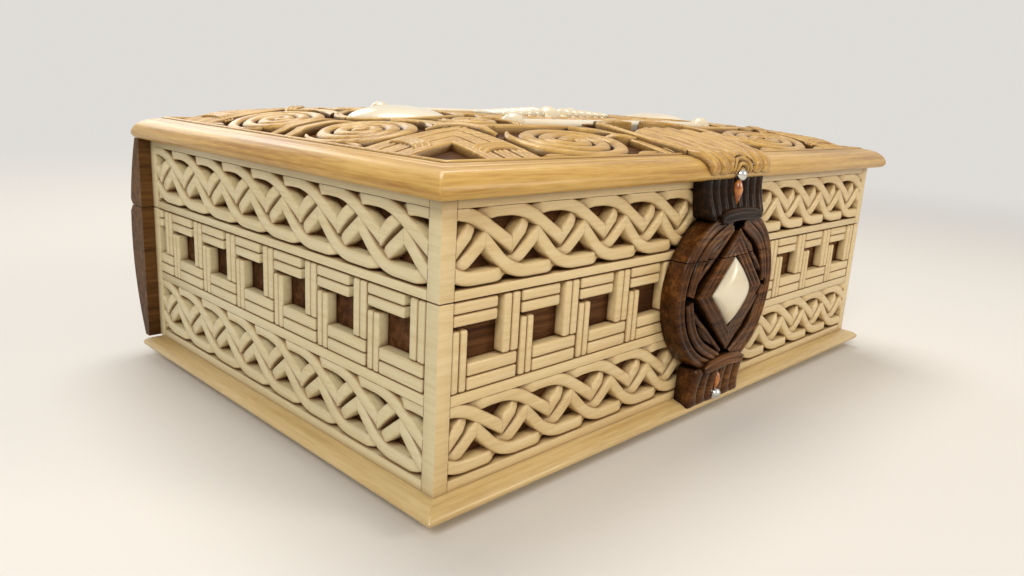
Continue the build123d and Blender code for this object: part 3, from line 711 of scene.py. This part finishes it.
def makeBands():
    # arches round the roundels, ties that wrap the ribs, and pointed leaves in the gaps
    bm = bmesh.new()
    for name, (points, radii, half, reeds, lift) in bands.items():
        wide = sink = None
        if "Tie" in name:
            wide = lambda share: min(1.0, 0.5 + 6 * share, 0.5 + 6 * (1 - share)) - 0.2 * sin(pi * share)
            sink = lambda share: 1.6 * max(0, abs(2 * share - 1) - 0.7) / 0.3
        addRib(bm, roundedLine(onLid(*points), radii, bandStep), half, reeds, lift, width=wide, sink=sink)
    slender = lambda share: max(0.06, sin(pi * min(1, share * 1.1 + 0.04)) ** 0.8)
    for points, radius, half in leaves.values():
        addRib(bm, roundedLine(onLid(*points), (radius,), bandStep), half, 1, 0.1, 0.9, width=slender)
    addRib(bm, fineLine(onLid(*edgeLine["points"]), 4), edgeLine["half"], 1, edgeLine["lift"])
    allQuarters(bm)
    layOnLid(bm)
    finishPiece(bm, "bands", lidMaple, "lid")


wave = {"reach": 54.5, "swing": 8.2, "centre": 21.5, "periods": 3.0, "half": 2.3, "groove": 0.8, "foot": -2.4,
        "steps": 120, "over": 0.22, "flat": 1.6}


def makeWaves():
    # two crossing waves on each side of the ridge, over and under by turns
    bm = bmesh.new()
    for side in (-1, 1):
        for phase in (0, 1):
            line = []
            for index in range(wave["steps"] + 1):
                share = index / wave["steps"]
                turn = share * wave["periods"] * 2 * pi + phase * pi
                line.append(Vector((wave["reach"] * (2 * share - 1),
                                    lid["middleY"] + side * wave["centre"] + wave["swing"] * sin(turn))))

            def height(point):
                share = (point.x / wave["reach"] + 1) / 2
                turn = share * wave["periods"] * 2 * pi
                under = (1 if phase else -1) * cos(turn)
                return 1.0 + wave["over"] * max(-1, min(1, wave["flat"] * under))
            addRib(bm, line, wave["half"], groove=wave["groove"], bottom=wave["foot"], height=height)
    layOnLid(bm)
    finishPiece(bm, "waves", lidMaple, "lid")


boneSizes = {
    "domeX": 78.0, "domeRadius": 18.6, "domeLift": 2.7, "domeFoot": 0.6, "barY": 37.95, "barHalf": 59.0,
    "barWidth": 5.0, "barLift": 1.0, "barGroove": 1.4, "knobRadius": 5.0, "knobLift": 3.0,
    "ridgeHalf": 35.0, "ridgeWidth": 14.0, "ridgeLift": 0.6, "ridgeGroove": 1.8, "reedPitch": 5.0,
    "reedHalf": 2.6, "reedHigh": 3.4, "reedFall": 2.0, "reedLean": 18, "crestRadius": 6.4, "crestLift": 3.6}


def addDome(bm, x, y, radius, lift):
    # lens-shaped knob: the cap of a flattened ball that starts in the ground
    top = lidHeight(x, y) + lift
    low = lidHeight(x, y) - lid["depth"] - boneSizes["domeFoot"]
    ball = Matrix.Translation((x, y, low)) @ Matrix.Diagonal((radius, radius, top - low, 1))
    dome = bmesh.new()
    bmesh.ops.create_uvsphere(dome, u_segments=48, v_segments=24, radius=1, matrix=ball)
    cutAway(dome, (x, y, low), (0, 0, -1))
    bm.from_mesh(asMesh(dome, "dome"))


def makeBone():
    middle, size, bone = lid["middleY"], boneSizes, materials["paleBone"]
    bm = bmesh.new()
    for x in (-size["domeX"], size["domeX"]):
        addDome(bm, x, middle, size["domeRadius"], size["domeLift"])
    finishPiece(bm, "boneDomes", bone, "lid", ["lid_bone_domes"], 60)
    bm = bmesh.new()
    bars = (middle - size["barY"], middle + size["barY"])
    for y in bars:
        line = fineLine([(-size["barHalf"], y), (size["barHalf"], y)], 4)
        addRib(bm, line, size["barWidth"] / 2, 1, size["barLift"], size["barGroove"])
    layOnLid(bm)
    for x in (-size["barHalf"], size["barHalf"]):
        for y in bars:
            addDome(bm, x, y, size["knobRadius"], size["knobLift"])
    finishPiece(bm, "boneBars", bone, "lid", ["lid_bone_bars"], 60)
    bm = bmesh.new()
    half = size["ridgeHalf"]
    line = fineLine([(-half, middle), (half, middle)], 4)
    addRib(bm, line, size["ridgeWidth"] / 2, 1, size["ridgeLift"], size["ridgeGroove"])
    count = int(half / size["reedPitch"])
    for step in range(-count, count + 1):
        if abs(step) < 2:
            continue    # the crest's knob stands here
        x = step * size["reedPitch"]
        rise = size["reedHigh"] - size["reedFall"] * abs(x) / half
        lean = Matrix.Rotation(radians(size["reedLean"] if x < 0 else -size["reedLean"]), 4, "Z")
        stretch = Matrix.Diagonal((size["reedHalf"], size["ridgeWidth"] / 2 - 0.6, rise, 1))
        ball = Matrix.Translation((x, middle, 0.2)) @ lean @ stretch
        bmesh.ops.create_uvsphere(bm, u_segments=20, v_segments=12, radius=1, matrix=ball)
    layOnLid(bm)
    addDome(bm, 0, middle, size["crestRadius"], size["crestLift"])
    finishPiece(bm, "boneRidge", bone, "lid", ["lid_bone_ridge"], 60)


# the nose is the tongue's side view at the border: setback from its front, height above the walls' foot
strap = {
    "half": 20.0, "reach": 45.0, "flare": 0.3, "shorten": 0.3, "flutes": 7, "scallop": 2.4, "lift": 2.0,
    "front": -95.5, "nose": [(0.9, 82.1), (0.2, 83.2), (0, 84.6), (0.4, 86.2), (1.5, 87.7), (3.4, 88.9)],
    "topStart": 6.5, "topStep": 2.0, "topSteps": 26, "fade": 60, "softened": 2, "groove": 1.5,
    "seat": 7.2, "seatPitch": 2.4, "seatShare": 0.8, "thick": 3.6, "rows": 100}
strapEdge = {"points": [(22.0, 8.6), (29.4, 31.5), (23.5, 46.5), (9.0, 51.0), (3.0, 46.5)],
             "radii": (40, 11, 6), "half": 2.0, "lift": 1.6, "groove": 0.6}


def strapLine():
    # side view of the tongue: up the front of the border, over it and along the rounded top
    points = [Vector((strap["front"] + y, z + foot)) for y, z in strap["nose"]]
    for step in range(strap["topSteps"]):
        y = strap["front"] + strap["topStart"] + strap["topStep"] * step
        points.append(Vector((y, lidHeight(0, y) + strap["lift"] * (1 - step / strap["fade"]))))
    for _ in range(strap["softened"]):
        cut = [points[0]]
        for first, second in zip(points, points[1:]):
            cut += [first.lerp(second, 0.25), first.lerp(second, 0.75)]
        points = cut + [points[-1]]
    return points


def spotOnLine(points, distance):
    for start, end in zip(points, points[1:]):
        run = (end - start).length
        if distance <= run or end is points[-1]:
            along = (end - start) / run
            return start + along * distance, Vector((-along.y, along.x))
        distance -= run


def makeLidStrap():
    # fan of flutes with scalloped ends, ringed round the bead's seat
    points = strapLine()
    bm = bmesh.new()
    tops = thickGrid(bm, strap["flutes"] * 12, strap["rows"])
    for vert in bm.verts:
        s, t = vert.co.x, ((vert.co.y + 1) / 2) ** 1.3
        flute = abs(sin(pi * strap["flutes"] * (s + 1) / 2))
        distance = t * (strap["reach"] * (1 - strap["shorten"] * s * s) + strap["scallop"] * flute ** 0.7)
        x = strap["half"] * s * (1 + strap["flare"] * min(1, distance / strap["reach"] * 1.3) ** 1.4)
        depth = strap["groove"] * (1 - flute ** 0.6) * min(1, 0.45 + distance / 16)
        ring = hypot(x, distance - 0.4)
        if ring < strap["seat"]:
            depth = strap["seatShare"] * strap["groove"] * (1 - abs(sin(pi * ring / strap["seatPitch"])))
        depth += 1.6 * max(0, (t - 0.93) / 0.07) ** 2 + 0.8 * max(0, (abs(s) - 0.97) / 0.03) ** 2
        spot, out = spotOnLine(points, distance)
        spot = spot - out * (depth if vert in tops else strap["thick"])
        vert.co = (x, spot.x, spot.y)
    finishPiece(bm, "lidStrap", lidMapleY, "lid", ["lid_strap"])
    bm = bmesh.new()
    thin = lambda share: min(1.0, 0.4 + share * 5, 0.3 + (1 - share) * 2.2)
    front = -lid["halfY"] + lid["middleY"]
    for flip in (-1, 1):
        points = [Vector((flip * px, front + py)) for px, py in strapEdge["points"]]
        line = roundedLine(points, strapEdge["radii"], bandStep)
        addRib(bm, line, strapEdge["half"], 2, strapEdge["lift"], strapEdge["groove"], width=thin)
    layOnLid(bm)
    finishPiece(bm, "strapBand", lidMaple, "lid")


makeLidBoard()
makeGround()
makeCornerSquares()
makeRoundels()
makeBands()
makeWaves()
makeBone()
makeLidStrap()
print("lid made")

# base board

baseBorder = {
    "section": [(-14, 8.5), (-14, 0), (-12, 0), (-8, 2.0), (-3.5, 2.75), (-1.4, 3.6), (-0.3, 4.6),
                (0, 5.5), (-0.35, 6.3), (-1.3, 7.05), (-3.2, 7.7), (-6.2, 8.5)],
    "inset": 13.9, "plate": (0, 8.5)}


def makeBaseBoard():
    bm = makeBoard(baseBorder["section"], baseBorder["inset"], baseBorder["plate"])
    finishPiece(bm, "baseBoard", (materials["baseMaple"], materials["baseMapleY"]), "base", ["base_cover"])


# clasp: shield with its bone lozenge, straps, beads and drops

clasp = {
    "halfX": 32.5, "halfY": 30.0, "middle": 40.0, "edge": 7.0, "face": 8.2, "floor": 4.4, "sunk": 0.2,
    "border": 2.3, "plateInset": 0.25, "frame": 3.1, "boneX": 13.0, "boneY": 12.9, "boneMiddle": 40.1,
    "boneEdge": 8.0, "boneCrown": 12.0, "boneFoot": 4.0, "boneSquare": 2.4}
claspWalnut, shadedStrapWalnut = materials["claspWalnut"], materials["shadedStrapWalnut"]
claspStep = 1.5


def bowHeight(u):
    rise = clasp["face"] - clasp["edge"]
    radius = (clasp["halfX"] ** 2 + rise ** 2) / (2 * rise)
    return clasp["face"] - radius + sqrt(radius ** 2 - u ** 2)


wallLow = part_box("base_frame_front")[0]
upright = Matrix(((1, 0, 0), (0, 0, 1), (0, -1, 0))).transposed().to_4x4()
claspPlace = Matrix.Translation((0, wallLow.y, foot * mm)) @ upright @ toMetres


def ovalLine(halfX, halfY, middle, count=96):
    turns = [2 * pi * index / count for index in range(count)]
    return [Vector((halfX * cos(turn), middle + halfY * sin(turn))) for turn in turns]


def addPlate(bm):
    plate = bmesh.new()
    bmesh.ops.create_circle(plate, cap_ends=True, radius=1, segments=96)
    bmesh.ops.triangulate(plate, faces=plate.faces[:])
    inner = [edge for edge in plate.edges if not edge.is_boundary]
    bmesh.ops.subdivide_edges(plate, edges=inner, cuts=1)
    inset = clasp["plateInset"]
    size = Matrix.Diagonal((clasp["halfX"] - inset, clasp["halfY"] - inset, 1, 1))
    plate.transform(Matrix.Translation((0, clasp["middle"], 0)) @ size)
    raised = bmesh.ops.extrude_face_region(plate, geom=plate.faces[:])["geom"]
    for vert in ofKind(raised, bmesh.types.BMVert):
        vert.co.z = bowHeight(vert.co.x) - clasp["floor"]
    bm.from_mesh(asMesh(plate, "plate"))


def onBow(bm):
    # what was drawn flat is lifted onto the shield's bowed face
    for vert in bm.verts:
        vert.co.z += bowHeight(max(-clasp["halfX"], min(clasp["halfX"], vert.co.x)))


# each rib and leaf of one quarter: its points from the middle, radius, half width, reeds, lift and groove
shieldRibs = {
    "outerRib": ([(25.5, 1.2), (21.5, 15.5), (4.2, 24.6)], 22, 2.1, 2, 0.2, 0.6),
    "innerRib": ([(24.2, 4.2), (13.0, 13.0), (2.0, 22.4)], 30, 1.15, 1, -0.5, 0.6),
    "longLeaf": ([(4.6, 20.6), (12.5, 15.2), (20.6, 5.2)], 18, 2.2, 1, -0.9, 1.3),
    "shortLeaf": ([(9.5, 22.0), (15.8, 18.2), (19.6, 12.2)], 14, 1.3, 1, -1.0, 1.3)}


def drawShield():
    # border, lozenge frame, curved ribs and leaves, drawn flat and laid on the bow
    middle, low, border = clasp["middle"], -clasp["floor"] - clasp["sunk"], clasp["border"]
    bm = bmesh.new()
    ring = ovalLine(clasp["halfX"] - border, clasp["halfY"] - border, middle)
    addRib(bm, ring, border, 2, 0.0, 0.7, low - 2.5, True)
    centre, reach = clasp["boneMiddle"], clasp["boneX"] + clasp["frame"] * 1.5
    corners = ((-reach, centre), (0, centre - reach), (reach, centre), (0, centre + reach))
    lozenge = [Vector(point) for point in corners]
    addRib(bm, lozenge, clasp["frame"], 3, 0.9, 0.75, low, True)
    slender = lambda share: max(0.08, sin(pi * min(1, share * 0.95 + 0.03)) ** 0.8)
    for flip in (-1, 1):
        for rise in (-1, 1):
            for name, (points, radius, half, reeds, lift, groove) in shieldRibs.items():
                line = [Vector((flip * x, middle + rise * y)) for x, y in points]
                line = roundedLine(line, (radius,), claspStep)
                addRib(bm, line, half, reeds, lift, groove, low, width=slender if "Leaf" in name else None)
    onBow(bm)
    addPlate(bm)
    return bm


def makeShield():
    # one drawing, cut where the lid meets the base
    drawn = asMesh(drawShield(), "shieldDrawing")
    halves = {"lower": ("base", None, wall["rim"]), "upper": ("lid", wall["lidRim"], None)}
    for half, (body, low, high) in halves.items():
        bm = bmesh.new()
        bm.from_mesh(drawn)
        cutToBox(bm, (None, low, None), (None, high, None))
        finishPiece(bm, "shield" + half.capitalize(), claspWalnut, body, ["clasp_shield_" + half], 45,
                    claspPlace)


def makeLozenge():
    # cushion-cut lozenge with a soft crown
    bm = bmesh.new()
    tops = thickGrid(bm, 24, 24)
    rise, square = clasp["boneCrown"] - clasp["boneEdge"], clasp["boneSquare"]
    for vert in bm.verts:
        s, t = vert.co.x, vert.co.y
        full = sqrt(max(0, (1 - abs(s) ** square) * (1 - abs(t) ** square)))
        vert.co = ((s - t) / 2 * clasp["boneX"], (s + t) / 2 * clasp["boneY"] + clasp["boneMiddle"],
                   clasp["boneEdge"] + rise * full if vert in tops else clasp["boneFoot"])
    finishPiece(bm, "boneLozenge", materials["paleBone"], "base", ["bone_diamond"], 60, claspPlace)


# upper strap runs down over the shield's head, lower strap up over its foot
straps = {
    "upper": {"body": "lid", "wood": shadedStrapWalnut, "end": 66.2, "far": 82.0, "half": 20.0, "depth": 5.2,
              "rise": 3.6, "flutes": 8, "groove": 1.5, "lobes": 2.2, "waist": 0.1},
    "lower": {"body": "base", "wood": claspWalnut, "end": 13.4, "far": -2.6, "half": 17.5, "depth": 6.5,
              "rise": 2.4, "flutes": 6, "groove": 1.2, "lobes": 1.6, "waist": 0.06}}


def strapDepth(one, s, t):
    # fluted face that swells towards the shield, rounded off at its ends and edges
    flute = abs(sin(pi * one["flutes"] * (s + 1) / 2))
    depth = one["depth"] + one["rise"] * t * t - one["groove"] * (1 - flute ** 0.55) * min(1, 0.2 + 2.2 * t)
    end, edge, root = max(0, (t - 0.9) / 0.1), max(0, (abs(s) - 0.96) / 0.04), max(0, 1 - t / 0.08)
    return depth - (1.8 * end ** 2 + 0.8 * edge ** 2 + 1.2 * root ** 2)


def makeStraps():
    for name, one in straps.items():
        bm = bmesh.new()
        tops = thickGrid(bm, one["flutes"] * 8, 24)
        toward = 1 if one["end"] > one["far"] else -1
        for vert in bm.verts:
            s, t = vert.co.x, (vert.co.y + 1) / 2
            end = one["end"] + toward * one["lobes"] * (abs(sin(pi * s)) ** 0.6 - 0.6)
            vert.co = (one["half"] * s * (1 - one["waist"] * t * t), one["far"] + (end - one["far"]) * t,
                       strapDepth(one, s, t) if vert in tops else 0.0)
        finishPiece(bm, "strap" + name.capitalize(), one["wood"], one["body"], ["clasp_strap_" + name], 45,
                    claspPlace)


ties = {"tieUpper": ("lid", 67.6, shadedStrapWalnut), "tieLower": ("base", 13.2, claspWalnut)}
tieShape = {"points": [(-13.5, -0.6), (0, 0.9), (13.5, -0.6)], "radius": 60, "half": 2.3, "face": 9.6,
            "foot": 4.0, "groove": 0.8}


def makeClaspTies():
    # bands that bind the straps to the shield
    soft = lambda share: min(1, 0.45 + 7 * share, 0.45 + 7 * (1 - share))
    half, face, groove, low = (tieShape[key] for key in ("half", "face", "groove", "foot"))
    for name, (body, middle, wood) in ties.items():
        line = [Vector((x, middle + y)) for x, y in tieShape["points"]]
        line = roundedLine(line, (tieShape["radius"],), claspStep)
        bm = bmesh.new()
        addRib(bm, line, half, 2, face, groove, low, width=soft)
        finishPiece(bm, name, wood, body, (), 45, claspPlace)


# each bead and drop: its body, place, half sizes, point and material, and what it replaces
beads = {
    "beadUpper": ("lid", (0, 81.6, 6.1), (2.4, 2.4, 2.4), 0, "polishedSteel", ["clasp_bead_upper"]),
    "beadLower": ("base", (0, 0.2, 6.6), (2.2, 2.2, 2.2), 0, "polishedSteel", ["clasp_bead_lower"]),
    "drop": ("lid", (0, 75.4, 5.8), (1.9, 4.4, 1.9), 0.5, "clearAmber", ["clasp_drop"]),
    "dropLower": ("base", (0, 5.4, 6.6), (1.4, 3.4, 1.4), 0.5, "clearAmber", ())}


def makeBeads():
    # a ball, or a drop when its lower end is drawn to a point
    for name, (body, place, size, point, material, replaced) in beads.items():
        bm = bmesh.new()
        turn = Matrix.Rotation(pi / 2, 4, "X")
        bmesh.ops.create_uvsphere(bm, u_segments=32, v_segments=16, radius=1, matrix=turn)
        for vert in bm.verts:
            slim = 1 - point * max(0, -vert.co.y + 0.2) / 1.2
            vert.co.x *= slim
            vert.co.z *= slim
        bm.transform(Matrix.Translation(place) @ Matrix.Diagonal((*size, 1)))
        finishPiece(bm, name, materials[material], body, replaced, 60, claspPlace)


hinge = {"x": 85.0, "spread": 12.5, "y": 85.6, "radius": 2.1, "ease": 0.15, "thick": 0.5, "proud": 0.07,
         "slot": 0.25, "turn": 25, "base": 61.5, "lid": 61.8}


def addScrew(bm, spot, turn, out):
    # countersunk head in two halves, with a plain slot between them
    for half in (-1, 1):
        head = bmesh.new()
        bmesh.ops.create_cone(head, cap_ends=True, segments=24, radius1=hinge["radius"],
                              radius2=hinge["radius"] - hinge["ease"], depth=hinge["thick"])
        head.transform(Matrix.Rotation(radians(turn), 4, "Z") @ Matrix.Diagonal((1, 1, out, 1)))
        cutAway(head, Vector((0, half * hinge["slot"], 0)), Vector((0, -half, 0)))
        addCopies(bm, asMesh(head, "screwHead"), [Matrix.Translation(spot)])


def makeScrews():
    # nearly flush with the leaves
    for body, out in (("base", 1), ("lid", -1)):
        level = hinge[body] + out * (hinge["proud"] - hinge["thick"] / 2)
        bm = bmesh.new()
        for x in (-hinge["x"], hinge["x"]):
            for step in (-1, 1):
                addScrew(bm, (x + step * hinge["spread"], hinge["y"], level), hinge["turn"] * step, out)
        finishPiece(bm, "screws" + body.capitalize(), materials["satinBrass"], body, (), 30)


makeScrews()
makeBaseBoard()
makeShield()
makeLozenge()
makeStraps()
makeClaspTies()
makeBeads()
print("base board and clasp made")

# floor, light and camera

studio = {"paper": (0.74, 0.72, 0.69), "radius": 6.0, "fadeFrom": 0.35, "fadeTo": 1.1,
          "sky": (0.95, 0.92, 0.88), "fill": 0.3}


def seenOnly(tree):
    # 1 for the camera, for reflections and for glass, 0 for the light that falls on the object
    path = addNode(tree, "LightPath")
    seen = path.outputs["Is Camera Ray"]
    for ray in ("Is Glossy Ray", "Is Transmission Ray"):
        either = addNode(tree, "Math", links={0: seen, 1: path.outputs[ray]}, operation="MAXIMUM")
        seen = either.outputs["Value"]
    return seen


def makeStudio():
    # round floor that goes over into the pale backdrop away from the object
    bm = bmesh.new()
    bmesh.ops.create_circle(bm, cap_ends=True, radius=studio["radius"], segments=96)
    floor = addObject("studioFloor", asMesh(bm, "studioFloor"))
    paper, tree, shader = startMaterial("paper", studio["paper"], 0.9)
    place = addNode(tree, "TexCoord")
    away = addNode(tree, "VectorMath", links={0: place.outputs["Object"]}, operation="LENGTH")
    fade = addNode(tree, "MapRange", {"From Min": studio["fadeFrom"], "From Max": studio["fadeTo"]},
                   {"Value": away.outputs["Value"]}, interpolation_type="SMOOTHSTEP")
    both = addNode(tree, "Math", links={0: fade.outputs["Result"], 1: seenOnly(tree)}, operation="MULTIPLY")
    glow = addNode(tree, "Emission", {"Color": (*studio["paper"], 1)})
    mix = addNode(tree, "MixShader", links={0: both.outputs["Value"], 1: shader.outputs["BSDF"],
                                            2: glow.outputs["Emission"]})
    tree.links.new(mix.outputs["Shader"], tree.nodes["Material Output"].inputs["Surface"])
    floor.data.materials.append(paper)


lamps = {
    "above": ((0.1, 0.3, 1.1), 0.6, 7.5, (1.0, 0.96, 0.9)),
    "key": ((-0.8, -0.5, 0.75), 0.45, 6.0, (1.0, 0.97, 0.93)),
    "right": ((0.5, -1.0, 0.55), 0.45, 4.6, (1.0, 0.9, 0.74)),
    "back": ((0.2, 1.2, 0.6), 0.7, 3, (1.0, 0.95, 0.88))}


def makeLights():
    for name, (place, size, power, colour) in lamps.items():
        lamp = bpy.data.lights.new(name, "AREA")
        lamp.shape = "DISK"
        lamp.size, lamp.energy, lamp.color = size, power, colour
        aim = (Vector((0, 0, 0.05)) - Vector(place)).to_track_quat("-Z", "Y")
        addObject(name, lamp).matrix_world = Matrix.Translation(place) @ aim.to_matrix().to_4x4()
    world = bpy.data.worlds.new("studio")
    world.use_nodes = True
    tree = world.node_tree
    light = tree.nodes["Background"]
    light.inputs["Color"].default_value = (*studio["sky"], 1)
    light.inputs["Strength"].default_value = studio["fill"]
    seen = addNode(tree, "Background", {"Color": (*studio["paper"], 1)})
    mix = addNode(tree, "MixShader", links={0: seenOnly(tree), 1: light.outputs["Background"],
                                            2: seen.outputs["Background"]})
    tree.links.new(mix.outputs["Shader"], tree.nodes["World Output"].inputs["Surface"])
    bpy.context.scene.world = world


camera = {"place": (-0.2550, -0.2326, 0.1150), "yaw": 45.9896, "pitch": 14.1224, "roll": 3.2226,
          "lens": 27.845}


def makeCamera():
    yaw, pitch, roll = (radians(camera[key]) for key in ("yaw", "pitch", "roll"))
    ahead = Vector((sin(yaw) * cos(pitch), cos(yaw) * cos(pitch), -sin(pitch)))
    right = ahead.cross(Vector((0, 0, 1))).normalized()
    up = right.cross(ahead)
    across = right * cos(roll) + up * sin(roll)
    above = up * cos(roll) - right * sin(roll)
    data = bpy.data.cameras.new("camera")
    data.lens, data.sensor_width = camera["lens"], 36
    data.clip_start = 0.01
    holder = addObject("camera", data)
    turn = Matrix((across, above, -ahead)).transposed().to_4x4()
    holder.matrix_world = Matrix.Translation(camera["place"]) @ turn
    bpy.context.scene.camera = holder


makeStudio()
makeLights()
makeCamera()
bpy.context.scene.view_settings.view_transform = "Standard"
